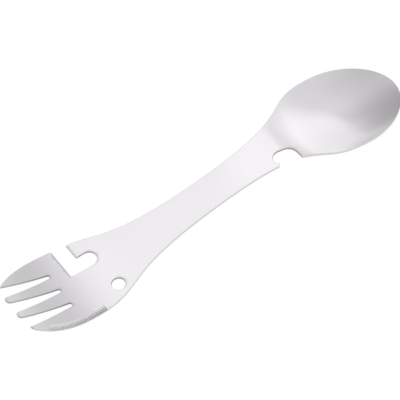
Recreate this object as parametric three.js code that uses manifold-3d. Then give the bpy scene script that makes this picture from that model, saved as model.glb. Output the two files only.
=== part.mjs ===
// Camping spork pressed from one sheet of stainless steel, in millimetres, +Z up, lying as it rests on a
// table. The spoon bowl is at +X and the four-tine fork at -X, with a flat waisted handle between them.
// The fork has a can-opener hook on its +Y edge, a serrated cutting edge on its -Y edge and a lanyard
// hole. The spoon's neck has a bottle-opener claw on its -Y edge.
// The blank is drawn in plan on the handle's flat, formed, cut, and then tilted into its resting place.

import * as THREE from "three";
import { mergeVertices } from "three/addons/utils/BufferGeometryUtils.js";
import Module from "manifold-3d";

// Sheet, and length from the fork's tips to the bowl's tip
const SHEET = 1.2;
const LENGTH = 200;

// Handle, narrowest at its waist
const WAIST_WIDTH = 15.4;
const WAIST_FROM_TINES = 101.8;

// Spoon bowl: its nose reaches from the widest place to the tip, its heel back towards the neck, and a
// power curve takes its floor up the nose
const BOWL_WIDTH = 42.2;
const BOWL_NOSE = 30.2;
const BOWL_HEEL = 34.5;
const BOWL_DEPTH = 7.2;
const BOWL_NOSE_POWER = 1.6;
const BOWL_DROP_DEG = 16;
const NECK_BEND_FROM_NOSE = 66.2;
const NECK_BEND_RADIUS = 70;

// Fork, bent up towards its tips: the outer tines are slim and a little short, and the slots lean to +Y
const FORK_WIDTH = 37.4;
const FORK_WIDEST_FROM_TINES = 23.9;
const FORK_BEND_FROM_TINES = 54.4;
const FORK_BEND_RADIUS = 98;
const FORK_BEND_DEG = 33;
const TINE_COUNT = 4;
const TINE_ROOT = 6.4;
const TINE_TIP = 2.8;
const TINE_TIP_ROUND = 2.2;
const OUTER_TINE_TIP = 0.6;
const OUTER_TINE_SHORT = 1.4;
const OUTER_TINE_SLANT = 0.5;
const SLOT_LENGTH = 22;
const SLOT_ROOT = 1.8;
const SLOT_MOUTH = 5.9;
const SLOT_LEAN = 0.8;

// Can-opener recess: a round-ended slot along the fork, open to the +Y edge through its mouth
const OPENER_FROM_TINES = 29.4;
const OPENER_MOUTH = 6.9;
const OPENER_REACH = 14.5;
const OPENER_DEPTH = 15.3;
const OPENER_SLOT = 7;
const OPENER_CORNER = 1.3;
const HOOK_BEVEL_WIDTH = 1.8;
const HOOK_BEVEL_DROP = 0.45;

// Bottle-opener claw: a lip that hooks over a round recess, which opens out towards the bowl
const CLAW_FROM_NOSE = 71;
const CLAW_WIDTH = 10.8;
const CLAW_DEPTH = 7.1;
const CLAW_RADIUS = 3.4;
const CLAW_CORNER = 4;
const CLAW_SLOPE_DEG = 15;
const CLAW_LIP = 1.4;
const CLAW_LIP_DROP = 1.6;
const CLAW_LIP_SLANT_DEG = 30;

// Lanyard hole
const HOLE_DIAMETER = 5.9;
const HOLE_FROM_TINES = 43.2;
const HOLE_EDGE = 2.75;

// Serrated edge: flutes ground into the top face, deepest at the rim
const KNIFE_FROM_TINES = 7.4;
const KNIFE_LENGTH = 25;
const TOOTH_PITCH = 1.2;
const TOOTH_LAND = 0.12;
const FLUTE_LENGTH = 2.9;
const FLUTE_DEPTH = 0.6;

// How far each curve of the outline keeps its end direction, as a share of its span
const NOSE_EASE = 0.53;
const NECK_EASE = { bowl: 0.44, waist: 0.8 };
const SHOULDER_EASE = { waist: 0.77, fork: 0.41 };
const TINE_EASE = { fork: 0.68, tip: 0.1 };
const TINE_TAPER = 0.5;

// Facets
const CURVE_STEPS = { nose: 14, neck: 18, shoulder: 18, tine: 8 };
const FINE_STEPS = 200;
const COLUMNS = 18;
const FLUTE_SIDES = 8;
const ROUND_SIDES = 10;
const TILT_HALVINGS = 40;
const STEEPEST_TILT = Math.PI / 4;

const tinesX = -LENGTH / 2;
const noseX = LENGTH / 2;
const bowlX = noseX - BOWL_NOSE;
const waistX = tinesX + WAIST_FROM_TINES;
const forkX = tinesX + FORK_WIDEST_FROM_TINES;
const slotRootX = tinesX + SLOT_LENGTH;
const outerTipX = tinesX + OUTER_TINE_SHORT;
const outerSlot = (TINE_COUNT - 2) / 2;

// Half of a slot's width, the slots' spacing and their lean, at a place along the tines.
function slotAt(x) {
  const share = (slotRootX - x) / SLOT_LENGTH;
  const width = THREE.MathUtils.lerp(SLOT_ROOT, SLOT_MOUTH, share);
  const tine = THREE.MathUtils.lerp(TINE_ROOT, TINE_TIP, share);
  return { half: width / 2, pitch: width + tine, lean: SLOT_LEAN * share };
}

const outerSlotAtTip = slotAt(outerTipX);
const outerTineY = outerSlot * outerSlotAtTip.pitch + outerSlotAtTip.half + OUTER_TINE_TIP;

// Half of the outline, from the bowl's tip to the outer tine's tip.
function outline(steps) {
  const at = (x, y) => new THREE.Vector2(x, y);
  const bowl = at(bowlX, BOWL_WIDTH / 2);
  const waist = at(waistX, WAIST_WIDTH / 2);
  const fork = at(forkX, FORK_WIDTH / 2);
  const tine = at(outerTipX, outerTineY);
  const neckSpan = bowl.x - waist.x;
  const shoulderSpan = waist.x - fork.x;
  const tineSpan = fork.x - tine.x;
  const tipEase = tineSpan * TINE_EASE.tip;
  const nose = new THREE.CubicBezierCurve(
    at(noseX, 0),
    at(noseX, bowl.y * NOSE_EASE),
    at(bowl.x + BOWL_NOSE * NOSE_EASE, bowl.y),
    bowl,
  );
  const neck = new THREE.CubicBezierCurve(
    bowl,
    at(bowl.x - neckSpan * NECK_EASE.bowl, bowl.y),
    at(waist.x + neckSpan * NECK_EASE.waist, waist.y),
    waist,
  );
  const shoulder = new THREE.CubicBezierCurve(
    waist,
    at(waist.x - shoulderSpan * SHOULDER_EASE.waist, waist.y),
    at(fork.x + shoulderSpan * SHOULDER_EASE.fork, fork.y),
    fork,
  );
  const tineEdge = new THREE.CubicBezierCurve(
    fork,
    at(fork.x - tineSpan * TINE_EASE.fork, fork.y),
    at(tine.x + tipEase, tine.y + tipEase * TINE_TAPER),
    tine,
  );
  return [
    ...nose.getPoints(steps.nose),
    ...neck.getPoints(steps.neck).slice(1),
    ...shoulder.getPoints(steps.shoulder).slice(1),
    ...tineEdge.getPoints(steps.tine).slice(1),
    at(tinesX, tine.y),
  ];
}

const fine = FINE_STEPS;
const fineOutline = outline({ nose: fine, neck: fine, shoulder: fine, tine: fine });

// Half width of the blank at a place along it.
function halfWidth(x) {
  const next = fineOutline.findIndex((point) => point.x <= x);
  if (next < 0) return fineOutline.at(-1).y;
  if (next === 0) return fineOutline[0].y;
  const a = fineOutline[next - 1];
  const b = fineOutline[next];
  return THREE.MathUtils.mapLinear(x, a.x, b.x, a.y, b.y);
}

// One bend of the sheet, an arc that runs on straight: its height and slope after a run in plan.
function bend(run, radius, degrees) {
  const angle = THREE.MathUtils.degToRad(degrees);
  const arcRun = radius * Math.sin(angle);
  const onArc = THREE.MathUtils.clamp(run, 0, arcRun);
  const drop = Math.sqrt(radius ** 2 - onArc ** 2);
  const straight = Math.max(run - arcRun, 0);
  return { height: radius - drop + straight * Math.tan(angle), slope: onArc / drop };
}

// The sheet's spine: flat along the handle, up along the fork, down along the bowl.
function spine(x) {
  const fork = bend(tinesX + FORK_BEND_FROM_TINES - x, FORK_BEND_RADIUS, FORK_BEND_DEG);
  const bowl = bend(x - (noseX - NECK_BEND_FROM_NOSE), NECK_BEND_RADIUS, BOWL_DROP_DEG);
  return { height: fork.height - bowl.height, slope: -fork.slope - bowl.slope };
}

// Depth of the bowl below its rim along the middle.
function dish(x) {
  if (x > bowlX) return BOWL_DEPTH * (1 - ((x - bowlX) / BOWL_NOSE) ** BOWL_NOSE_POWER);
  return BOWL_DEPTH * THREE.MathUtils.smoothstep(x, bowlX - BOWL_HEEL, bowlX);
}

// A point of the top face, at a share of the half width, and the point below it on the back.
function sheetPoints(x, width, share) {
  const { height, slope } = spine(x);
  const top = new THREE.Vector3(x, share * width, height - dish(x) * (1 - share ** 2));
  const down = new THREE.Vector3(slope, 0, -1).setLength(SHEET);
  return { top, back: top.clone().add(down) };
}

// The formed sheet, still without its cut-outs, as a closed mesh of stations along the outline.
function formedSheet() {
  const vertices = [];
  const triangles = [];
  const addVertex = (point) => vertices.push(point) - 1;
  const addTriangle = (a, b, c) => {
    if (a !== b && b !== c && c !== a) triangles.push(a, b, c);
  };
  const addQuad = (a, b, c, d) => {
    addTriangle(a, b, c);
    addTriangle(a, c, d);
  };
  const stations = outline(CURVE_STEPS).map(({ x, y: width }) => {
    const columns = width > 0 ? COLUMNS + 1 : 1;
    const rows = Array.from({ length: columns }, (_, k) => {
      const share = 1 - (2 * k) / COLUMNS;
      const { top, back } = sheetPoints(x, width, share);
      return { top: addVertex(top), back: addVertex(back) };
    });
    return (k) => rows[Math.min(k, rows.length - 1)];
  });
  for (let s = 0; s + 1 < stations.length; s += 1) {
    const here = stations[s];
    const next = stations[s + 1];
    for (let k = 0; k < COLUMNS; k += 1) {
      addQuad(here(k).top, next(k).top, next(k + 1).top, here(k + 1).top);
      addQuad(here(k).back, here(k + 1).back, next(k + 1).back, next(k).back);
    }
    addQuad(here(0).top, here(0).back, next(0).back, next(0).top);
    addQuad(here(COLUMNS).top, next(COLUMNS).top, next(COLUMNS).back, here(COLUMNS).back);
  }
  const last = stations.at(-1);
  for (let k = 0; k < COLUMNS; k += 1) {
    addQuad(last(k).top, last(k).back, last(k + 1).back, last(k + 1).top);
  }
  return new THREE.BufferGeometry().setFromPoints(vertices).setIndex(triangles);
}

// A cutter that goes right through the sheet, from its outline in plan.
function punch(shape) {
  const settings = { depth: LENGTH, bevelEnabled: false, curveSegments: ROUND_SIDES };
  return new THREE.ExtrudeGeometry(shape, settings).translate(0, 0, -LENGTH / 2);
}

// The comb between and around the tines: slots with round roots, round inner tips, slanted outer tips.
function tineComb() {
  const outside = FORK_WIDTH;
  const edgeY = (slot, side, x) => {
    const { half, pitch, lean } = slotAt(x);
    return slot * pitch + lean + side * half;
  };
  // A round end reaches its middle's place when its curve swings a third of its length past that place.
  const roundEnd = (shape, x, length, fromY, toY) => {
    const swing = x - length / 3;
    shape.bezierCurveTo(swing, fromY, swing, toY, x + length, toY);
  };
  const tipX = tinesX + TINE_TIP_ROUND;
  const rootX = slotRootX - SLOT_ROOT / 2;
  const slant = outside * OUTER_TINE_SLANT;
  const comb = new THREE.Shape();
  comb.moveTo(tinesX - outside, -2 * outside);
  comb.lineTo(outerTipX + slant, edgeY(-outerSlot, -1, outerTipX) - outside);
  comb.lineTo(outerTipX, edgeY(-outerSlot, -1, outerTipX));
  for (let slot = -outerSlot; slot <= outerSlot; slot += 1) {
    comb.lineTo(rootX, edgeY(slot, -1, rootX));
    roundEnd(comb, slotRootX, -SLOT_ROOT / 2, edgeY(slot, -1, rootX), edgeY(slot, 1, rootX));
    if (slot < outerSlot) {
      comb.lineTo(tipX, edgeY(slot, 1, tipX));
      roundEnd(comb, tinesX, TINE_TIP_ROUND, edgeY(slot, 1, tipX), edgeY(slot + 1, -1, tipX));
    }
  }
  comb.lineTo(outerTipX, edgeY(outerSlot, 1, outerTipX));
  comb.lineTo(outerTipX + slant, edgeY(outerSlot, 1, outerTipX) + outside);
  comb.lineTo(tinesX - outside, 2 * outside);
  return punch(comb);
}

const openerX = tinesX + OPENER_FROM_TINES;
const hookX = openerX + OPENER_MOUTH;
const openerFloorY = halfWidth(openerX) - OPENER_DEPTH;

function canOpenerRecess() {
  const radius = OPENER_SLOT / 2;
  const roundX = openerX + OPENER_REACH - radius;
  const cornerX = openerX - OPENER_CORNER;
  const edgeY = halfWidth(openerX);
  const recess = new THREE.Shape();
  recess.moveTo(openerX, openerFloorY);
  recess.lineTo(roundX, openerFloorY);
  recess.absarc(roundX, openerFloorY + radius, radius, -Math.PI / 2, Math.PI / 2);
  recess.lineTo(hookX, openerFloorY + OPENER_SLOT);
  recess.lineTo(hookX, FORK_WIDTH);
  recess.lineTo(cornerX, FORK_WIDTH);
  recess.lineTo(cornerX, halfWidth(cornerX));
  recess.quadraticCurveTo(openerX, edgeY, openerX, edgeY - OPENER_CORNER);
  return punch(recess);
}

// The bevel ground across the top of the can-opener hook's end.
function hookBevel() {
  const { height, slope } = spine(hookX);
  const along = new THREE.Vector3(1, 0, slope).normalize();
  const up = new THREE.Vector3(-slope, 0, 1).normalize();
  const wedge = new THREE.Shape();
  wedge.moveTo(HOOK_BEVEL_WIDTH, 0);
  wedge.lineTo(HOOK_BEVEL_WIDTH, SHEET);
  wedge.lineTo(-HOOK_BEVEL_WIDTH, SHEET);
  wedge.lineTo(-HOOK_BEVEL_WIDTH, -2 * HOOK_BEVEL_DROP);
  const depth = FORK_WIDTH - openerFloorY - OPENER_SLOT / 2;
  const bevel = new THREE.ExtrudeGeometry(wedge, { depth, bevelEnabled: false });
  const turn = new THREE.Matrix4().makeBasis(along, up, along.clone().cross(up));
  return bevel.applyMatrix4(turn.setPosition(hookX, FORK_WIDTH, height));
}

// Its top slopes away from the round back, and a curve takes it down the side of its mouth.
function bottleOpenerRecess() {
  const outside = FORK_WIDTH;
  const backX = noseX - CLAW_FROM_NOSE;
  const mouthX = backX + CLAW_WIDTH;
  const middleX = backX + CLAW_RADIUS;
  const middleY = CLAW_DEPTH - halfWidth(middleX) - CLAW_RADIUS;
  const tip = new THREE.Vector2(backX + CLAW_LIP, middleY - CLAW_LIP_DROP);
  const lipSlant = Math.tan(THREE.MathUtils.degToRad(CLAW_LIP_SLANT_DEG));
  const slope = THREE.MathUtils.degToRad(CLAW_SLOPE_DEG);
  const topX = middleX + CLAW_RADIUS * Math.sin(slope);
  const topY = middleY + CLAW_RADIUS * Math.cos(slope);
  const cornerY = topY - (mouthX - topX) * Math.tan(slope);
  const recess = new THREE.Shape();
  recess.moveTo(tip.x, tip.y);
  recess.lineTo(tip.x - outside * lipSlant, tip.y - outside);
  recess.lineTo(mouthX, tip.y - outside);
  recess.lineTo(mouthX, cornerY - CLAW_CORNER);
  recess.quadraticCurveTo(
    mouthX,
    cornerY,
    mouthX - CLAW_CORNER * Math.cos(slope),
    cornerY + CLAW_CORNER * Math.sin(slope),
  );
  recess.absarc(middleX, middleY, CLAW_RADIUS, Math.PI / 2 - slope, Math.PI + slope);
  return punch(recess);
}

function lanyardHole() {
  const radius = HOLE_DIAMETER / 2;
  const x = tinesX + HOLE_FROM_TINES;
  const hole = new THREE.Shape();
  hole.absarc(x, HOLE_EDGE + radius - halfWidth(x), radius, 0, Math.PI * 2);
  return punch(hole);
}

// A place on the fork's -Y edge, with the directions along the edge, up from the sheet and out of it.
function edgeFrame(x) {
  const at = (place) => sheetPoints(place, halfWidth(place), -1).top;
  const along = at(x + TOOTH_LAND).sub(at(x - TOOTH_LAND)).normalize();
  const up = new THREE.Vector3(-spine(x).slope, 0, 1).normalize();
  const outward = along.clone().cross(up).normalize();
  return { place: at(x), along, up, outward };
}

// Flutes of the cutting edge: cylinders that dip out of the top face towards the rim.
function knifeFlutes() {
  const radius = (TOOTH_PITCH - TOOTH_LAND) / 2;
  const dip = Math.atan2(FLUTE_DEPTH, FLUTE_LENGTH);
  const toolReach = 2 * FLUTE_LENGTH;
  const flutes = [];
  let x = tinesX + KNIFE_FROM_TINES;
  while (x < tinesX + KNIFE_FROM_TINES + KNIFE_LENGTH) {
    const { place, along, up, outward } = edgeFrame(x);
    const axis = outward.clone().multiplyScalar(Math.cos(dip)).addScaledVector(up, -Math.sin(dip));
    const lift = up.clone().multiplyScalar(Math.cos(dip)).addScaledVector(outward, Math.sin(dip));
    const middle = place.clone().addScaledVector(up, -FLUTE_DEPTH).addScaledVector(lift, radius);
    const flute = new THREE.CylinderGeometry(radius, radius, 2 * toolReach, FLUTE_SIDES);
    const turn = new THREE.Matrix4().makeBasis(along, axis, along.clone().cross(axis));
    flutes.push(flute.applyMatrix4(turn.setPosition(middle)));
    x += TOOTH_PITCH * Math.abs(along.x);
  }
  return flutes;
}

const wasm = await Module();
wasm.setup();

function toSolid(geometry) {
  const bare = geometry.clone();
  bare.deleteAttribute("normal");
  bare.deleteAttribute("uv");
  const merged = mergeVertices(bare);
  const vertProperties = new Float32Array(merged.getAttribute("position").array);
  const triVerts = new Uint32Array(merged.index.array);
  return new wasm.Manifold(new wasm.Mesh({ numProp: 3, vertProperties, triVerts }));
}

function toGeometry(solid) {
  const { vertProperties, triVerts } = solid.getMesh();
  const geometry = new THREE.BufferGeometry();
  geometry.setAttribute("position", new THREE.BufferAttribute(vertProperties, 3));
  geometry.setIndex(new THREE.BufferAttribute(triVerts, 1));
  geometry.computeVertexNormals();
  return geometry;
}

function sporkGeometry() {
  const cutters = [
    tineComb(),
    canOpenerRecess(),
    bottleOpenerRecess(),
    lanyardHole(),
    hookBevel(),
    ...knifeFlutes(),
  ];
  let solid = toSolid(formedSheet());
  for (const cutter of cutters) solid = solid.subtract(toSolid(cutter));
  return toGeometry(solid);
}

// Tilt at which the bowl and the fork's heel touch the table together, found by halving.
function restTilt(geometry) {
  const position = geometry.getAttribute("position");
  const lowest = (tilt, side) => {
    let low = Infinity;
    for (let i = 0; i < position.count; i += 1) {
      const x = position.getX(i);
      if (x * side > 0) low = Math.min(low, x * Math.sin(tilt) + position.getZ(i) * Math.cos(tilt));
    }
    return low;
  };
  let level = 0;
  let steep = STEEPEST_TILT;
  for (let halving = 0; halving < TILT_HALVINGS; halving += 1) {
    const tilt = (level + steep) / 2;
    if (lowest(tilt, 1) < lowest(tilt, -1)) level = tilt;
    else steep = tilt;
  }
  return (level + steep) / 2;
}

const steel = new THREE.MeshStandardMaterial({ color: 0xd4d4d6, roughness: 0.34, metalness: 1 });
const body = new THREE.Mesh(sporkGeometry(), steel);
body.name = "spork";
body.rotation.y = -restTilt(body.geometry);

// The origin is on the table, under the middle of the part.
const box = new THREE.Box3().setFromObject(body, true);
const middle = box.getCenter(new THREE.Vector3());
body.position.set(-middle.x, -middle.y, -box.min.z);

const spork = new THREE.Group();
spork.add(body);

export default spork;
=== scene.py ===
# Camping spork pressed from one sheet of stainless steel: the finished piece, its studio and its camera.
# The sheet is drawn as the CAD part draws it, in millimetres on the handle's flat, with a finer mesh and
# rounded rims, and becomes metres when it is tilted into its resting place.

import math

import bpy
import numpy as np
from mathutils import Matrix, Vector
from mathutils.geometry import delaunay_2d_cdt
from mathutils.kdtree import KDTree


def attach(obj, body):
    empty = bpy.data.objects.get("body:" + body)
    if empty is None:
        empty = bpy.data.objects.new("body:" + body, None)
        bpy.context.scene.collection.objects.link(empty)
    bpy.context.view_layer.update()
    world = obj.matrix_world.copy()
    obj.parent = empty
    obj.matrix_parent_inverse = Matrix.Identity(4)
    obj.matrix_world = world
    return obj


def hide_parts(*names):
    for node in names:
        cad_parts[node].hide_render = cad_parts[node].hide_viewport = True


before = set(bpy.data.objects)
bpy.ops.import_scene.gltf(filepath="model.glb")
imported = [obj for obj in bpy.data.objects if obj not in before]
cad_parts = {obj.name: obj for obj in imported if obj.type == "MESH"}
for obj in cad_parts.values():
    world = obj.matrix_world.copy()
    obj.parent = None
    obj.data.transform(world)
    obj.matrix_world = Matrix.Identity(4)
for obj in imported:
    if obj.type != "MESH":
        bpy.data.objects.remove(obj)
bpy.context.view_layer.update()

METRE = 0.001

# Sheet, and length from the fork's tips to the bowl's tip
SHEET = 1.2
LENGTH = 200.0

# Resting place: the handle's tilt, and where the middle of its top face ends up
REST_TILT_DEG = 7.0983
REST_PLACE = (0.0194, 0.0, 7.604)

# Handle, narrowest at its waist
WAIST_WIDTH = 15.4
WAIST_FROM_TINES = 101.8

# Spoon bowl
BOWL_WIDTH = 42.2
BOWL_NOSE = 30.2
BOWL_HEEL = 34.5
BOWL_DEPTH = 7.2
BOWL_NOSE_POWER = 1.6
BOWL_DROP_DEG = 16.0
NECK_BEND_FROM_NOSE = 66.2
NECK_BEND_RADIUS = 70.0

# Fork, bent up towards its tips
FORK_WIDTH = 37.4
FORK_WIDEST_FROM_TINES = 23.9
FORK_BEND_FROM_TINES = 54.4
FORK_BEND_RADIUS = 98.0
FORK_BEND_DEG = 33.0
TINE_ROOT = 6.4
TINE_TIP = 2.8
TINE_TIP_ROUND = 2.2
OUTER_TINE_TIP = 0.6
OUTER_TINE_SHORT = 1.4
OUTER_TINE_SLANT = 0.5
SLOT_LENGTH = 22.0
SLOT_ROOT = 1.8
SLOT_MOUTH = 5.9
SLOT_LEAN = 0.8
SLOTS = (1, 0, -1)

# Can-opener recess and the bevel across its hook
OPENER_FROM_TINES = 29.4
OPENER_MOUTH = 6.9
OPENER_REACH = 14.5
OPENER_DEPTH = 15.3
OPENER_SLOT = 7.0
OPENER_CORNER = 1.3
HOOK_BEVEL_WIDTH = 1.8
HOOK_BEVEL_DROP = 0.45

# Bottle-opener claw
CLAW_FROM_NOSE = 71.0
CLAW_WIDTH = 10.8
CLAW_DEPTH = 7.1
CLAW_RADIUS = 3.4
CLAW_CORNER = 4.0
CLAW_SLOPE_DEG = 15.0
CLAW_LIP = 1.4
CLAW_LIP_DROP = 1.6
CLAW_LIP_SLANT_DEG = 30.0

# Lanyard hole
HOLE_DIAMETER = 5.9
HOLE_FROM_TINES = 43.2
HOLE_EDGE = 2.75

# Flutes of the serrated edge
KNIFE_FROM_TINES = 7.4
KNIFE_LENGTH = 25.0
TOOTH_PITCH = 1.2
TOOTH_LAND = 0.12
FLUTE_LENGTH = 2.9
FLUTE_DEPTH = 0.6

# How far each curve of the outline keeps its end direction, as a share of its span
NOSE_EASE = 0.53
NECK_EASE_BOWL = 0.44
NECK_EASE_WAIST = 0.8
SHOULDER_EASE_WAIST = 0.77
SHOULDER_EASE_FORK = 0.41
TINE_EASE_FORK = 0.68
TINE_EASE_TIP = 0.1
TINE_TAPER = 0.5

# Rims: their round, its least size and share of the room at sharp tips, and how much tumbling softens a
# corner in plan
RIM_ROUND = 0.2
LEAST_ROUND = RIM_ROUND / 8
TIP_SHARE = 0.75
CORNER_SOFTENING = 0.16

# Dullness of the walls and painted shade on them, from none to that of the slots' roots: the punched walls
# are dark partly from shearing and partly from painted shade in the cut-outs, deepening into the slots'
# roots.
# Painted shade along two edges: the can opener's shoulder, on which a can's rim rides, and the punched edges
# that face the fork's end
PUNCH_SHEAR_AND_SHADE = 0.66
TINE_SHEAR = 0.5
BLANK_SHEAR = 0.05
SHOULDER_SHADE = 0.5
END_SHADE = 0.35

# Fineness of the mesh, and the steps and slack of its searches
CURVE_STEPS = 200
ROUND_STEPS = 24
LOOP_STEP = 0.05
RIM_STEP = 0.7
RIM_TURN = math.radians(9)
RIM_ARC_STEPS = 4
KNIFE_STEP = 0.13
KNIFE_ROW = 0.17
KNIFE_CLEARANCE = FLUTE_LENGTH + 2.5 * KNIFE_ROW
FACE_STEP = 1.1
FACE_CLEARANCE = 0.55 * FACE_STEP
FIELD_STRIDE = 4
SLOPE_STEP = 0.02
MERGE_GAP = 1e-6
ROUND_SHRINK = 0.8
ROUND_SLACK = 0.97

# How close to the blank's edge a point still lies on it, how squarely the can opener's shoulder faces its
# recess, and how deep grinding is where it starts to show
EDGE_SLACK = SHEET / 4
SHOULDER_FACING = 0.9
GROUND_TRACE = 0.01

# Places along the sheet, from its middle
TINES_X = -LENGTH / 2
NOSE_X = LENGTH / 2
BOWL_X = NOSE_X - BOWL_NOSE
WAIST_X = TINES_X + WAIST_FROM_TINES
FORK_X = TINES_X + FORK_WIDEST_FROM_TINES
SLOT_ROOT_X = TINES_X + SLOT_LENGTH
OUTER_TIP_X = TINES_X + OUTER_TINE_SHORT
OPENER_X = TINES_X + OPENER_FROM_TINES
HOOK_X = OPENER_X + OPENER_MOUTH
KNIFE_X = TINES_X + KNIFE_FROM_TINES

# A reach that ends off the sheet, for the cuts that come in from its edge
OUTSIDE = FORK_WIDTH


# Drawing in plan

def curve(points, steps):
    """Points along the Bezier curve of some guide points."""
    share = np.linspace(0, 1, steps + 1)[:, None]
    row = [np.asarray(point, float) for point in points]
    while len(row) > 1:
        row = [a + (b - a) * share for a, b in zip(row, row[1:])]
    return row[0]


def arc(middle, radius, start_deg, end_deg):
    turn = np.radians(np.linspace(start_deg, end_deg, ROUND_STEPS + 1))
    return np.asarray(middle) + radius * np.column_stack([np.cos(turn), np.sin(turn)])


def slot_edge(slot, side, x):
    """Where one side of a slot between the tines lies, at a place along the tines."""
    share = (SLOT_ROOT_X - x) / SLOT_LENGTH
    width = SLOT_ROOT + (SLOT_MOUTH - SLOT_ROOT) * share
    tine = TINE_ROOT + (TINE_TIP - TINE_ROOT) * share
    return slot * (width + tine) + SLOT_LEAN * share + side * width / 2


def blank_edge():
    """The +Y edge of the blank, from the bowl's tip to the outer tine's tip."""
    tip_lean = SLOT_LEAN * (SLOT_ROOT_X - OUTER_TIP_X) / SLOT_LENGTH
    tip_y = slot_edge(1, 1, OUTER_TIP_X) - tip_lean + OUTER_TINE_TIP
    bowl_y = BOWL_WIDTH / 2
    waist_y = WAIST_WIDTH / 2
    fork_y = FORK_WIDTH / 2
    neck = BOWL_X - WAIST_X
    shoulder = WAIST_X - FORK_X
    tine = FORK_X - OUTER_TIP_X
    tip_ease = tine * TINE_EASE_TIP
    spans = [
        [
            (NOSE_X, 0),
            (NOSE_X, bowl_y * NOSE_EASE),
            (BOWL_X + BOWL_NOSE * NOSE_EASE, bowl_y),
            (BOWL_X, bowl_y),
        ],
        [
            (BOWL_X, bowl_y),
            (BOWL_X - neck * NECK_EASE_BOWL, bowl_y),
            (WAIST_X + neck * NECK_EASE_WAIST, waist_y),
            (WAIST_X, waist_y),
        ],
        [
            (WAIST_X, waist_y),
            (WAIST_X - shoulder * SHOULDER_EASE_WAIST, waist_y),
            (FORK_X + shoulder * SHOULDER_EASE_FORK, fork_y),
            (FORK_X, fork_y),
        ],
        [
            (FORK_X, fork_y),
            (FORK_X - tine * TINE_EASE_FORK, fork_y),
            (OUTER_TIP_X + tip_ease, tip_y + tip_ease * TINE_TAPER),
            (OUTER_TIP_X, tip_y),
        ],
    ]
    edge = [curve(span, CURVE_STEPS)[:-1] for span in spans]
    return np.vstack(edge + [[(OUTER_TIP_X, tip_y), (TINES_X, tip_y)]])


EDGE = blank_edge()


def half_width(x):
    return np.interp(x, EDGE[::-1, 0], EDGE[::-1, 1])


def tine_comb():
    """The cut round the tines, from the +Y side to the -Y side."""
    slant = OUTSIDE * OUTER_TINE_SLANT

    def round_end(x, length, sides):
        """A round end that reaches x, from one side to the other."""
        start_x, swing_x = x + length, x - length / 3
        from_y, to_y = sides
        guides = [(start_x, from_y), (swing_x, from_y), (swing_x, to_y), (start_x, to_y)]
        return curve(guides, ROUND_STEPS)

    tip_x = TINES_X + TINE_TIP_ROUND
    root_x = SLOT_ROOT_X - SLOT_ROOT / 2
    first_y = slot_edge(SLOTS[0], 1, OUTER_TIP_X)
    last_y = slot_edge(SLOTS[-1], -1, OUTER_TIP_X)
    comb = [[(OUTER_TIP_X + slant, first_y + OUTSIDE), (OUTER_TIP_X, first_y)]]
    for slot in SLOTS:
        root_sides = slot_edge(slot, 1, root_x), slot_edge(slot, -1, root_x)
        comb.append(round_end(SLOT_ROOT_X, -SLOT_ROOT / 2, root_sides))
        if slot != SLOTS[-1]:
            tip_sides = slot_edge(slot, -1, tip_x), slot_edge(slot - 1, 1, tip_x)
            comb.append(round_end(TINES_X, TINE_TIP_ROUND, tip_sides))
    comb.append([(OUTER_TIP_X, last_y), (OUTER_TIP_X + slant, last_y - OUTSIDE)])
    return np.vstack(comb)


OPENER_FLOOR_Y = half_width(OPENER_X) - OPENER_DEPTH
HOOK_ROOT_Y = OPENER_FLOOR_Y + OPENER_SLOT


def can_opener_cut():
    """The recess behind the can opener's hook, from the hook's side to the fork's side."""
    radius = OPENER_SLOT / 2
    round_x = OPENER_X + OPENER_REACH - radius
    corner_x = OPENER_X - OPENER_CORNER
    edge_y = half_width(OPENER_X)
    corner = [(OPENER_X, edge_y - OPENER_CORNER), (OPENER_X, edge_y), (corner_x, half_width(corner_x))]
    return np.vstack([
        [(HOOK_X, OUTSIDE), (HOOK_X, HOOK_ROOT_Y)],
        arc((round_x, OPENER_FLOOR_Y + radius), radius, 90, -90),
        [(OPENER_X, OPENER_FLOOR_Y)],
        curve(corner, ROUND_STEPS),
        [(corner_x, OUTSIDE)],
    ])


def bottle_opener_cut():
    """The bottle opener's claw, from its lip to its mouth."""
    back_x = NOSE_X - CLAW_FROM_NOSE
    mouth_x = back_x + CLAW_WIDTH
    middle_x = back_x + CLAW_RADIUS
    middle_y = CLAW_DEPTH - half_width(middle_x) - CLAW_RADIUS
    tip_x, tip_y = back_x + CLAW_LIP, middle_y - CLAW_LIP_DROP
    slope = math.radians(CLAW_SLOPE_DEG)
    top_x = middle_x + CLAW_RADIUS * math.sin(slope)
    top_y = middle_y + CLAW_RADIUS * math.cos(slope)
    corner_y = top_y - (mouth_x - top_x) * math.tan(slope)
    corner = [
        (mouth_x - CLAW_CORNER * math.cos(slope), corner_y + CLAW_CORNER * math.sin(slope)),
        (mouth_x, corner_y),
        (mouth_x, corner_y - CLAW_CORNER),
    ]
    lip_run = OUTSIDE * math.tan(math.radians(CLAW_LIP_SLANT_DEG))
    return np.vstack([
        [(tip_x - lip_run, tip_y - OUTSIDE), (tip_x, tip_y)],
        arc((middle_x, middle_y), CLAW_RADIUS, 180 + CLAW_SLOPE_DEG, 90 - CLAW_SLOPE_DEG),
        curve(corner, ROUND_STEPS),
        [(mouth_x, -OUTSIDE)],
    ])


def lanyard_hole():
    radius = HOLE_DIAMETER / 2
    x = TINES_X + HOLE_FROM_TINES
    return arc((x, HOLE_EDGE + radius - half_width(x)), radius, 360, 0)[:-1]


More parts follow.
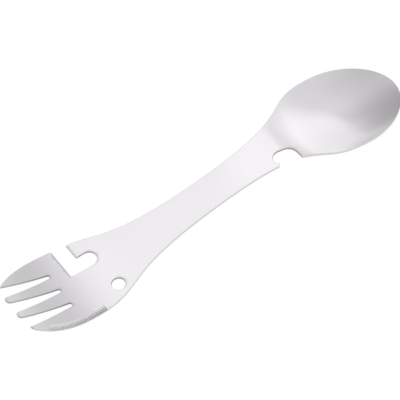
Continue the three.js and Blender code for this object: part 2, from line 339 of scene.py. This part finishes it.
def crossings(path, cut):
    """Where a cut crosses a path: places along the path, places along the cut, and the points."""
    a, b = path[:-1, None], cut[None, :-1]
    along_path, along_cut = path[1:, None] - a, cut[None, 1:] - b
    apart = b - a

    def turn(u, v):
        return u[..., 0] * v[..., 1] - u[..., 1] * v[..., 0]

    with np.errstate(divide="ignore", invalid="ignore"):
        share_path = turn(apart, along_cut) / turn(along_path, along_cut)
        share_cut = turn(apart, along_path) / turn(along_path, along_cut)

    def on_span(share):
        return (share > -MERGE_GAP) & (share < 1 + MERGE_GAP)

    i, j = np.nonzero(on_span(share_path) & on_span(share_cut))
    points = path[i] + share_path[i, j][:, None] * (path[i + 1] - path[i])
    order = np.argsort(i + share_path[i, j])
    return i[order], j[order], points[order]


def let_in(path, cut):
    """A path with a cut let into it, between the first and the last place where they cross."""
    i, j, points = crossings(path, cut)
    return np.vstack([
        path[: i[0] + 1],
        points[:1],
        cut[j[0] + 1 : j[-1] + 1],
        points[-1:],
        path[i[-1] + 1 :],
    ])


def evenly(loop):
    """A closed loop drawn again with points a small step apart."""
    ring = np.vstack([loop, loop[:1]])
    run = np.append(0, np.cumsum(np.linalg.norm(np.diff(ring, axis=0), axis=1)))
    places = np.linspace(0, run[-1], round(run[-1] / LOOP_STEP), endpoint=False)
    return np.column_stack([np.interp(places, run, ring[:, k]) for k in (0, 1)])


def softened(loop):
    """A closed loop whose corners are rounded as tumbling rounds them."""
    spread = CORNER_SOFTENING / LOOP_STEP
    tail = math.ceil(3 * spread)
    shifts = range(-tail, tail + 1)
    weights = [math.exp(-0.5 * (shift / spread) ** 2) for shift in shifts]
    total = sum(weight * np.roll(loop, shift, axis=0) for shift, weight in zip(shifts, weights))
    return total / sum(weights)


def inward_normals(loop):
    """Unit directions from a loop into the sheet, which lies on the loop's left."""
    ahead = np.roll(loop, -1, axis=0) - np.roll(loop, 1, axis=0)
    ahead /= np.linalg.norm(ahead, axis=1)[:, None]
    return np.column_stack([-ahead[:, 1], ahead[:, 0]])


def sheet_outline():
    """The blank's edge on both sides, with the openers and the tines cut into it."""
    mirrored = EDGE[::-1] * (1, -1)
    path = np.vstack([EDGE, mirrored[:-1]])
    for cut in (can_opener_cut(), tine_comb(), bottle_opener_cut()):
        path = let_in(path, cut)
    return softened(evenly(path))


OUTLINE = sheet_outline()
OUTLINE_INWARD = inward_normals(OUTLINE)
HOLE = softened(evenly(lanyard_hole()))
HOLE_INWARD = inward_normals(HOLE)


# Forming: heights over the plan

def bend(run, radius, degrees):
    """Height and slope of one bend of the sheet, an arc that runs on straight, after a run in plan."""
    angle = math.radians(degrees)
    arc_run = radius * math.sin(angle)
    on_arc = np.clip(run, 0, arc_run)
    drop = np.sqrt(radius**2 - on_arc**2)
    straight = np.maximum(run - arc_run, 0)
    return radius - drop + straight * math.tan(angle), on_arc / drop


def spine(x):
    """Height and slope of the sheet's middle line, bent up at the fork and down at the bowl."""
    fork, fork_slope = bend(TINES_X + FORK_BEND_FROM_TINES - x, FORK_BEND_RADIUS, FORK_BEND_DEG)
    bowl, bowl_slope = bend(x - (NOSE_X - NECK_BEND_FROM_NOSE), NECK_BEND_RADIUS, BOWL_DROP_DEG)
    return fork - bowl, -fork_slope - bowl_slope


def dished(x, y):
    """How far the bowl lies below its rim."""
    share = np.clip((x - BOWL_X + BOWL_HEEL) / BOWL_HEEL, 0, 1)
    heel = share**2 * (3 - 2 * share)
    nose = 1 - (np.clip(x - BOWL_X, 0, BOWL_NOSE) / BOWL_NOSE) ** BOWL_NOSE_POWER
    across = np.minimum(np.abs(y) / np.maximum(half_width(x), SHEET), 1)
    return BOWL_DEPTH * np.where(x > BOWL_X, nose, heel) * (1 - across**2)


# Grinding: what the wheel takes off the top face

def knife_edge():
    """The part of the outline that carries the flutes."""
    x, y = OUTLINE.T
    start, end = KNIFE_X - FLUTE_LENGTH, KNIFE_X + KNIFE_LENGTH + FLUTE_LENGTH
    return (y < 0) & (x > start) & (x < end) & (y < -half_width(x) + EDGE_SLACK)


KNIFE = knife_edge()
KNIFE_EDGE = OUTLINE[KNIFE]
KNIFE_INWARD = OUTLINE_INWARD[KNIFE]
KNIFE_START = np.argmax(KNIFE_EDGE[:, 0] > KNIFE_X) * LOOP_STEP


def flute_depth(x, y):
    """Depth of the serrated edge's flutes: round-bottomed, and deepest at the rim."""
    depth = np.zeros_like(x)
    near = (x > KNIFE_EDGE[0, 0]) & (x < KNIFE_EDGE[-1, 0]) & (y < -half_width(x) + 2 * FLUTE_LENGTH)
    place = np.column_stack([x[near], y[near]])
    nearest = ((place[:, None] - KNIFE_EDGE[None]) ** 2).sum(-1).argmin(1)
    off = place - KNIFE_EDGE[nearest]
    inward = KNIFE_INWARD[nearest]
    run = nearest * LOOP_STEP - KNIFE_START + off[:, 0] * inward[:, 1] - off[:, 1] * inward[:, 0]
    from_rim = (off * inward).sum(1)
    radius = (TOOTH_PITCH - TOOTH_LAND) / 2
    across = np.abs((run + TOOTH_PITCH / 2) % TOOTH_PITCH - TOOTH_PITCH / 2)
    round_bottom = radius - np.sqrt(np.maximum(radius**2 - across**2, 0))
    cut = FLUTE_DEPTH * (1 - from_rim / FLUTE_LENGTH) - round_bottom
    cut[(across > radius) | (run < -radius) | (run > KNIFE_LENGTH + radius)] = 0
    depth[near] = np.maximum(cut, 0)
    return depth


def bevel_depth(x, y):
    """Depth of the bevel across the can-opener hook's end."""
    on_hook = (y > HOOK_ROOT_Y - RIM_ROUND) & (x > HOOK_X - RIM_ROUND)
    return np.where(on_hook, HOOK_BEVEL_DROP * np.clip(1 - (x - HOOK_X) / HOOK_BEVEL_WIDTH, 0, 1), 0)


def ground_depth(x, y):
    return flute_depth(x, y) + bevel_depth(x, y)


# Meshing

def inside(loops, x, y):
    """Whether points of the plan lie between closed loops, by the loops' sides to the right of them."""
    within = np.zeros(x.shape, bool)
    for loop in loops:
        after = np.roll(loop, -1, axis=0)
        for (ax, ay), (bx, by) in zip(loop, after):
            if ay == by:
                continue
            spans = (ay > y) != (by > y)
            within ^= spans & (x < ax + (y - ay) * (bx - ax) / (by - ay))
    return within


def rim_reach(edge, inward):
    """How far the rim's round reaches in from each point of the edge: less at sharp tips."""
    outline = KDTree(len(OUTLINE))
    for n, (x, y) in enumerate(OUTLINE):
        outline.insert((x, y, 0), n)
    outline.balance()
    reach = np.full(len(edge), RIM_ROUND)
    for n in range(len(edge)):
        while reach[n] > LEAST_ROUND:
            x, y = edge[n] + inward[n] * reach[n] / TIP_SHARE
            if outline.find((x, y, 0))[2] > ROUND_SLACK * reach[n] / TIP_SHARE:
                break
            reach[n] *= ROUND_SHRINK
    return reach


def rim_places(loop):
    """Which points of a loop the mesh keeps: many on tight curves and along the flutes, few elsewhere."""
    ahead = (np.roll(loop, -1, axis=0) - loop) @ (1, 1j)
    turn = np.abs(np.angle(ahead / np.roll(ahead, 1)))
    wanted = np.maximum(LOOP_STEP / RIM_STEP, turn / RIM_TURN)
    if loop is OUTLINE:
        wanted[KNIFE] = LOOP_STEP / KNIFE_STEP
    count = np.floor(np.cumsum(wanted))
    return np.nonzero(np.diff(count, prepend=-1) > 0)[0]


def knife_rows():
    """Close rows of points that follow the flutes."""
    stride = round(KNIFE_STEP / LOOP_STEP)
    rows = np.arange(RIM_ROUND + KNIFE_ROW, FLUTE_LENGTH + 2 * KNIFE_ROW, KNIFE_ROW)
    edge, inward = KNIFE_EDGE[::stride], KNIFE_INWARD[::stride]
    return np.vstack([edge + inward * row for row in rows])


def bevel_rows():
    """Two close rows of points that keep the bevel's ridge crisp."""
    gap = RIM_ROUND / 4
    y = np.arange(HOOK_ROOT_Y + 2 * RIM_ROUND, half_width(HOOK_X) - 2 * RIM_ROUND, FACE_STEP / 2)
    ridge = HOOK_X + HOOK_BEVEL_WIDTH
    return np.vstack([np.column_stack([np.full_like(y, ridge + side * gap), y]) for side in (-1, 1)])


def face_points(rim, clearance):
    """A staggered field of points over the sheet that keeps clear of its rim."""
    row_gap = FACE_STEP * math.sqrt(3) / 2
    reach = BOWL_WIDTH / 2
    rows = []
    for k, y in enumerate(np.arange(-reach, reach, row_gap)):
        x = np.arange(TINES_X + k % 2 * FACE_STEP / 2, NOSE_X, FACE_STEP)
        rows.append(np.column_stack([x, np.full_like(x, y)]))
    field = np.vstack(rows)
    field = field[inside((OUTLINE[::FIELD_STRIDE], HOLE), *field.T)]
    gap = np.sqrt(((field[:, None] - rim[None]) ** 2).sum(-1)) - clearance
    return field[gap.min(1) > 0]


def sheet_places(x, y, depth):
    """Places in the formed sheet at a depth below its top face. Its walls stand upright along the fork."""
    height, slope = spine(x)
    steep = np.sqrt(1 + slope**2)
    lean = np.where(x > 0, slope / steep, 0)
    fall = np.where(x > 0, 1 / steep, steep)
    return np.column_stack([x + lean * depth, y, height - dished(x, y) - fall * depth])


def face_normals(x, y, grind):
    """Directions up from the top face, as formed, or as ground where grind is given."""
    def height(x, y):
        return sheet_places(x, y, grind(x, y) if grind else np.zeros_like(x))[:, 2]

    low, high = x - SLOPE_STEP, np.minimum(x + SLOPE_STEP, NOSE_X)
    along = (height(high, y) - height(low, y)) / (high - low)
    across = (height(x, y + SLOPE_STEP) - height(x, y - SLOPE_STEP)) / (2 * SLOPE_STEP)
    normals = np.column_stack([-along, -across, np.ones_like(x)])
    return normals / np.linalg.norm(normals, axis=1)[:, None]


def face_triangles(rim, after, rim_loops, clearance):
    """Points over the plan, the rim's own first, and the triangles between them that lie in the sheet."""
    plan = np.vstack([rim, knife_rows(), bevel_rows(), face_points(rim, clearance)])
    sides = list(enumerate(after.tolist()))
    corners, _, triangles, _, _, _ = delaunay_2d_cdt([Vector(p) for p in plan], sides, [], 0, MERGE_GAP)
    plan = np.array([tuple(corner) for corner in corners])
    triangles = np.array(triangles)
    return plan, triangles[inside(rim_loops, *plan[triangles].mean(1).T)]


def rim_rings(edge, inward, reach):
    """Rings of points round the rim, from the top face out to the wall and back in under the sheet.

    Gives the rings' points, their normals, and how far each ring has turned outward.
    """
    rim = (edge + inward * reach).T
    outward = np.column_stack([-inward, np.zeros(len(inward))])

    def ring(turn, up, depth, sense):
        out, level = math.sin(turn), math.cos(turn)
        place = edge + inward * reach * (1 - out)
        down = reach[:, 0] * (1 - level)
        return sheet_places(*place.T, depth + sense * down), up * level + outward * out, out

    turns = np.linspace(0, math.pi / 2, RIM_ARC_STEPS + 1)[1:]
    top_up, top_depth = face_normals(*rim, ground_depth), ground_depth(*rim)
    back_up = -face_normals(*rim, None)
    rings = [ring(turn, top_up, top_depth, 1) for turn in turns]
    rings += [ring(turn, back_up, SHEET, -1) for turn in turns[::-1]]
    return zip(*rings)


def rim_dullness_and_shade(edge, inward):
    """How dull the rim's wall is at each point, with painted shade in the cut-outs and slots, and painted
    shade on two edges.
    """
    x, y = edge.T
    facing = inward[:, 0]
    punched = np.abs(y) < half_width(x) - EDGE_SLACK
    # Painted shade: the slots' walls darken towards their roots, and the other punched walls are darkened by
    # it too
    in_slot = np.clip((x - TINES_X) / SLOT_LENGTH, 0, 1)
    slot_wall_shear_and_shade = TINE_SHEAR + (1 - TINE_SHEAR) * in_slot**2
    punched_wall_shear_and_shade = np.where(x < SLOT_ROOT_X + SHEET, slot_wall_shear_and_shade, PUNCH_SHEAR_AND_SHADE)
    wall = np.where(punched, punched_wall_shear_and_shade, BLANK_SHEAR)
    # Painted shade on the can opener's shoulder and on the punched edges that face the fork's end
    shoulder = punched & (np.abs(x - OPENER_X) < RIM_ROUND) & (facing < -SHOULDER_FACING)
    end_shade = np.where(punched, END_SHADE * np.clip(facing, 0, 1), 0)
    return wall, np.where(shoulder, SHOULDER_SHADE, end_shade)


def sheet_mesh():
    """The whole sheet: top face, rounded rims and back, with the masks of its finish and of its painted
    shade on its points.
    """
    on_outline, on_hole = rim_places(OUTLINE), rim_places(HOLE)
    edge = np.vstack([OUTLINE[on_outline], HOLE[on_hole]])
    inward = np.vstack([OUTLINE_INWARD[on_outline], HOLE_INWARD[on_hole]])
    split = len(on_outline)
    after = np.arange(len(edge)) + 1
    after[[split - 1, -1]] = 0, split

    reach = rim_reach(edge, inward)[:, None]
    rim = edge + inward * reach
    clearance = np.full(len(rim), FACE_CLEARANCE)
    clearance[:split][KNIFE[on_outline]] = KNIFE_CLEARANCE
    plan, triangles = face_triangles(rim, after, np.split(rim, [split]), clearance)
    x, y = plan.T

    rings, ring_normals, turned_out = rim_rings(edge, inward, reach)
    top = sheet_places(x, y, ground_depth(x, y))
    back = sheet_places(x, y, np.full_like(x, SHEET))
    points = np.vstack([top, back, *rings])
    normals = np.vstack([face_normals(x, y, ground_depth), -face_normals(x, y, None), *ring_normals])
    normals /= np.linalg.norm(normals, axis=1)[:, None]

    wall, edge_shade = rim_dullness_and_shade(edge, inward)
    # The painted shade of these edges also lies on the top face's rim points, and fades across its first
    # triangles
    faces_edge_shade = np.concatenate([edge_shade, np.zeros(2 * len(x) - len(edge_shade))])
    sheared_and_shaded = np.concatenate([faces_edge_shade] + [np.maximum(wall * out**2, edge_shade) for out in turned_out])
    plain = np.zeros(len(points) - len(x))
    ground = np.concatenate([ground_depth(x, y) > GROUND_TRACE, plain])
    # Painted shade in the flutes, darkest where they are deepest
    flute_shade = np.concatenate([np.minimum(flute_depth(x, y) / FLUTE_DEPTH, 1), plain])

    rim_points = np.arange(len(edge))
    levels = [rim_points]
    levels += [2 * len(x) + n * len(edge) + rim_points for n in range(len(rings))]
    levels.append(len(x) + rim_points)
    faces = triangles.tolist() + (triangles[:, ::-1] + len(x)).tolist()
    for upper, lower in zip(levels, levels[1:]):
        faces += np.column_stack([upper, lower, lower[after], upper[after]]).tolist()
    return points, normals, faces, {"sheared_and_shaded_rim": sheared_and_shaded, "ground_face": ground, "flute": flute_shade}


def at_rest(vectors, moved):
    """Points or directions of the handle's flat, tilted as the spork lies. Points also go to their place."""
    tilt = math.radians(REST_TILT_DEG)
    x, y, z = vectors.T
    turned = np.column_stack([
        x * math.cos(tilt) - z * math.sin(tilt),
        y,
        x * math.sin(tilt) + z * math.cos(tilt),
    ])
    return (turned + REST_PLACE) * METRE if moved else turned


def make_spork():
    """The sheet as one object that lies at rest, with smooth rims and the masks of its finish and painted
    shade.
    """
    points, normals, faces, masks = sheet_mesh()
    mesh = bpy.data.meshes.new("spork_sheet")
    mesh.from_pydata(at_rest(points, True).tolist(), [], faces)
    mesh.polygons.foreach_set("use_smooth", [True] * len(mesh.polygons))
    for name, values in masks.items():
        mask = mesh.attributes.new(name, "FLOAT", "POINT")
        mask.data.foreach_set("value", values.astype(np.float32))
    mesh.update()
    mesh.normals_split_custom_set_from_vertices(at_rest(normals, False).tolist())
    spork = bpy.data.objects.new("spork_sheet", mesh)
    bpy.context.scene.collection.objects.link(spork)
    return spork


# Materials

class Wire:
    """A socket of a node tree. An expression on wires and numbers adds its Math nodes."""

    def __init__(self, tree, socket=None):
        self.tree = tree
        self.socket = socket

    def node(self, kind, settings=None, inputs=None, output=0):
        """A wire from one output of a new node, whose settings come first and then its sockets."""
        made = self.tree.nodes.new(kind)
        for name, value in (settings or {}).items():
            setattr(made, name, value)
        for name, value in (inputs or {}).items():
            if isinstance(value, Wire):
                self.tree.links.new(value.socket, made.inputs[name])
            else:
                made.inputs[name].default_value = value
        return Wire(self.tree, made.outputs[output] if made.outputs else None)

    def math(self, operation, *values):
        return self.node("ShaderNodeMath", {"operation": operation}, dict(enumerate(values)))

    def __add__(self, other):
        return self.math("ADD", self, other)

    def __sub__(self, other):
        return self.math("SUBTRACT", self, other)

    def __rsub__(self, other):
        return self.math("SUBTRACT", other, self)

    def __mul__(self, other):
        return self.math("MULTIPLY", self, other)

    __radd__ = __add__
    __rmul__ = __mul__

    def stretched(self, along, across):
        """A place drawn out along the handle, for brushing."""
        factors = {0: self, 1: (along, across, across)}
        return self.node("ShaderNodeVectorMath", {"operation": "MULTIPLY"}, factors)

    def noise(self, scale, detail):
        inputs = {"Vector": self, "Scale": scale, "Detail": detail}
        return self.node("ShaderNodeTexNoise", {}, inputs)

    def mask(self, name):
        """One of the masks that the sheet carries on its points."""
        return self.node("ShaderNodeAttribute", {"attribute_name": name}, output="Fac")

    def blend(self, plain, full):
        """A colour that goes from plain to full as this wire goes from 0 to 1."""
        return self.node("ShaderNodeMix", {"data_type": "RGBA"}, {0: self, 6: plain, 7: full}, 2)


def new_material(name):
    """An empty material and a wire to its node tree."""
    material = bpy.data.materials.new(name)
    material.use_nodes = True
    material.node_tree.nodes.clear()
    return material, Wire(material.node_tree)


# Colours of the steel, of its dull walls with painted shade and of painted shade in the flutes, and how
# fully the walls and the flutes take theirs
STEEL_COOL = (0.77, 0.76, 0.785, 1)
STEEL_WARM = (0.84, 0.813, 0.823, 1)
STEEL_SHEARED_AND_SHADED = (0.2, 0.195, 0.2, 1)
STEEL_FLUTE_SHADE = (0.36, 0.35, 0.36, 1)
SHEARED_AND_SHADED_COVER = 0.9
FLUTE_SHADE_COVER = 0.6

# Scales of the brushing, along and across the handle, and of the clouding
BRUSH_LINES = (60, 3200)
FINE_LINES = (140, 9000)
CLOUD_SCALE = 38

# Roughness of the satin, what brushing, clouding and shearing add to it, and what grinding takes off
SATIN_ROUGHNESS = 0.27
BRUSHED_ROUGHNESS = 0.06
CLOUDED_ROUGHNESS = 0.05
SHEARED_ROUGHNESS = 0.14
GROUND_POLISH = 0.05

# Relief of the brushing, its depth in metres, the fine lines' share, and what grinding takes off
GRAIN_STRENGTH = 0.16
GRAIN_DEPTH = 0.00003
FINE_SHARE = 0.5
GROUND_SMOOTHING = 0.7


def satin_steel():
    """Stainless sheet brushed along the handle, dull with painted shade on its rims, with painted shade in
    the flutes, and fresh where it is ground.
    """
    material, wire = new_material("satin_steel")
    place = wire.node("ShaderNodeTexCoord", output="Object")
    lines = place.stretched(*BRUSH_LINES).noise(1, detail=4)
    fine_lines = place.stretched(*FINE_LINES).noise(1, detail=2)
    cloud = place.noise(CLOUD_SCALE, detail=3)
    sheared_and_shaded, ground, flute_shade = (wire.mask(name) for name in ("sheared_and_shaded_rim", "ground_face", "flute"))
    face = (0.5 * cloud + 0.5 * lines).blend(STEEL_COOL, STEEL_WARM)
    # Painted shade on the rims and deepening into the slots' roots, mixed with the dullness of shearing
    rimmed = (sheared_and_shaded * SHEARED_AND_SHADED_COVER).blend(face, STEEL_SHEARED_AND_SHADED)
    # Painted shade in the flutes
    colour = (flute_shade * FLUTE_SHADE_COVER).blend(rimmed, STEEL_FLUTE_SHADE)
    roughness = SATIN_ROUGHNESS + BRUSHED_ROUGHNESS * lines + CLOUDED_ROUGHNESS * cloud
    roughness = roughness + SHEARED_ROUGHNESS * sheared_and_shaded - GROUND_POLISH * ground
    grain = (lines + FINE_SHARE * fine_lines) * (1 - GROUND_SMOOTHING * ground)
    relief = {"Strength": GRAIN_STRENGTH, "Distance": GRAIN_DEPTH, "Height": grain}
    shader = wire.node("ShaderNodeBsdfPrincipled", {}, {
        "Base Color": colour,
        "Metallic": 1.0,
        "Roughness": roughness,
        "Normal": wire.node("ShaderNodeBump", {}, relief),
    })
    wire.node("ShaderNodeOutputMaterial", {}, {"Surface": shader})
    return material


# Studio

WHITE = (1, 1, 1, 1)

# Floor: its paper and glow, and how much of it shows as white to the camera and in the steel
FLOOR_SIZE = 6.0
FLOOR_PAPER = (0.85, 0.85, 0.85, 1)
FLOOR_GLOW = 1.09
FLOOR_WHITE = 0.86
FLOOR_GLEAM = 0.55

# Sky: its tint, its middle and least levels, and which way it brightens
SKY_TINT = (0.985, 0.985, 1, 1)
SKY_LEVEL = 0.43
SKY_LEAST = 0.36
SKY_SLOPE = (0.387, -0.269, 0.077)

# Power of a soft box, for each square metre at a brightness of 1
BOX_WATTS = 1.75


def white_floor():
    """A white floor that shows as white to the camera and in the steel, and keeps a faint shadow."""
    material, wire = new_material("white_floor")
    seen = wire.node("ShaderNodeLightPath", output="Is Camera Ray")
    mirrored = wire.node("ShaderNodeLightPath", output="Is Glossy Ray")
    share = seen * FLOOR_WHITE + mirrored * FLOOR_GLEAM
    paper = wire.node("ShaderNodeBsdfDiffuse", {}, {"Color": FLOOR_PAPER})
    white = wire.node("ShaderNodeEmission", {}, {"Color": WHITE, "Strength": FLOOR_GLOW})
    shader = wire.node("ShaderNodeMixShader", {}, {0: share, 1: paper, 2: white})
    wire.node("ShaderNodeOutputMaterial", {}, {"Surface": shader})
    mesh = bpy.data.meshes.new("studio_floor")
    reach = FLOOR_SIZE / 2
    corners = [(-reach, -reach, 0), (reach, -reach, 0), (reach, reach, 0), (-reach, reach, 0)]
    mesh.from_pydata(corners, [], [(0, 1, 2, 3)])
    mesh.materials.append(material)
    floor = bpy.data.objects.new("studio_floor", mesh)
    bpy.context.scene.collection.objects.link(floor)


def studio_world():
    """A soft sky, brighter along its slope, and white where the camera looks past the floor."""
    world = bpy.data.worlds.new("studio")
    bpy.context.scene.world = world
    world.use_nodes = True
    world.node_tree.nodes.clear()
    wire = Wire(world.node_tree)
    seen = wire.node("ShaderNodeLightPath", output="Is Camera Ray")
    towards = wire.node("ShaderNodeTexCoord", output="Generated")
    dot = {0: towards, 1: SKY_SLOPE}
    slope = wire.node("ShaderNodeVectorMath", {"operation": "DOT_PRODUCT"}, dot, "Value")
    sky = wire.math("MAXIMUM", SKY_LEVEL + slope, SKY_LEAST)
    fill = wire.node("ShaderNodeBackground", {}, {"Color": SKY_TINT, "Strength": sky})
    white = wire.node("ShaderNodeBackground", {}, {"Color": WHITE, "Strength": 1.0})
    shader = wire.node("ShaderNodeMixShader", {}, {0: seen, 1: fill, 2: white})
    wire.node("ShaderNodeOutputWorld", {}, {"Surface": shader})


def softbox(name, place, aim, size, brightness, tint=WHITE[:3], grid_deg=180):
    """A soft box of some brightness that faces a point, with a grid that narrows its light."""
    width, height = size
    light = bpy.data.lights.new(name, "AREA")
    light.color = tint
    light.shape = "RECTANGLE"
    light.size = width
    light.size_y = height
    light.spread = math.radians(grid_deg)
    light.energy = brightness * BOX_WATTS * width * height
    lamp = bpy.data.objects.new(name, light)
    lamp.location = place
    lamp.rotation_euler = (Vector(aim) - Vector(place)).to_track_quat("-Z", "Y").to_euler()
    lamp.visible_camera = False
    bpy.context.scene.collection.objects.link(lamp)


# Camera: measured from the photograph
CAMERA_AIM = Vector((-7.008, -1.251, 8.0)) * METRE
CAMERA_RISE_DEG = 56.388
CAMERA_TURN_DEG = 36.857
CAMERA_DISTANCE = 0.8
CAMERA_LENS = 170.24
SENSOR_WIDTH = 36.0


def photo_camera():
    """A camera at the photograph's viewing angle."""
    rise, turn = math.radians(CAMERA_RISE_DEG), math.radians(CAMERA_TURN_DEG)
    flat = math.cos(rise)
    towards = Vector((-math.sin(turn) * flat, -math.cos(turn) * flat, math.sin(rise)))
    data = bpy.data.cameras.new("photo_camera")
    data.lens = CAMERA_LENS
    data.sensor_width = SENSOR_WIDTH
    camera = bpy.data.objects.new("photo_camera", data)
    camera.location = CAMERA_AIM + towards * CAMERA_DISTANCE
    camera.rotation_euler = (-towards).to_track_quat("-Z", "Y").to_euler()
    bpy.context.scene.collection.objects.link(camera)
    bpy.context.scene.camera = camera


# The spork, and the studio round it

spork = make_spork()
spork.data.materials.append(satin_steel())
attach(spork, "root")
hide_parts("spork")

white_floor()
studio_world()
softbox(
    "overhead_softbox",
    place=(-0.0415, 0.113, 0.252),
    aim=(-0.0415, 0.113, 0),
    size=(0.273, 0.232),
    brightness=1.38,
)
softbox(
    "right_softbox",
    place=(0.24, 0.131, 0.0775),
    aim=(0, 0, 0.0775),
    size=(0.168, 0.176),
    brightness=0.94,
)
softbox(
    "back_card",
    place=(0.2016, 0.258, 0.024),
    aim=(0, 0, 0.024),
    size=(0.158, 0.0465),
    brightness=0.89,
    tint=(1, 0.99, 0.96),
)
softbox(
    "neck_card",
    place=(0.0637, 0.0155, 0.0534),
    aim=(0.027, -0.0145, 0),
    size=(0.0813, 0.0642),
    brightness=0.155,
    tint=(1, 0.94, 0.955),
    grid_deg=82,
)
softbox(
    "left_softbox",
    place=(-0.36, 0.36, 0.2),
    aim=(0, 0, 0.02),
    size=(0.4, 0.3),
    brightness=0.6,
)
photo_camera()
bpy.context.scene.view_settings.view_transform = "Standard"
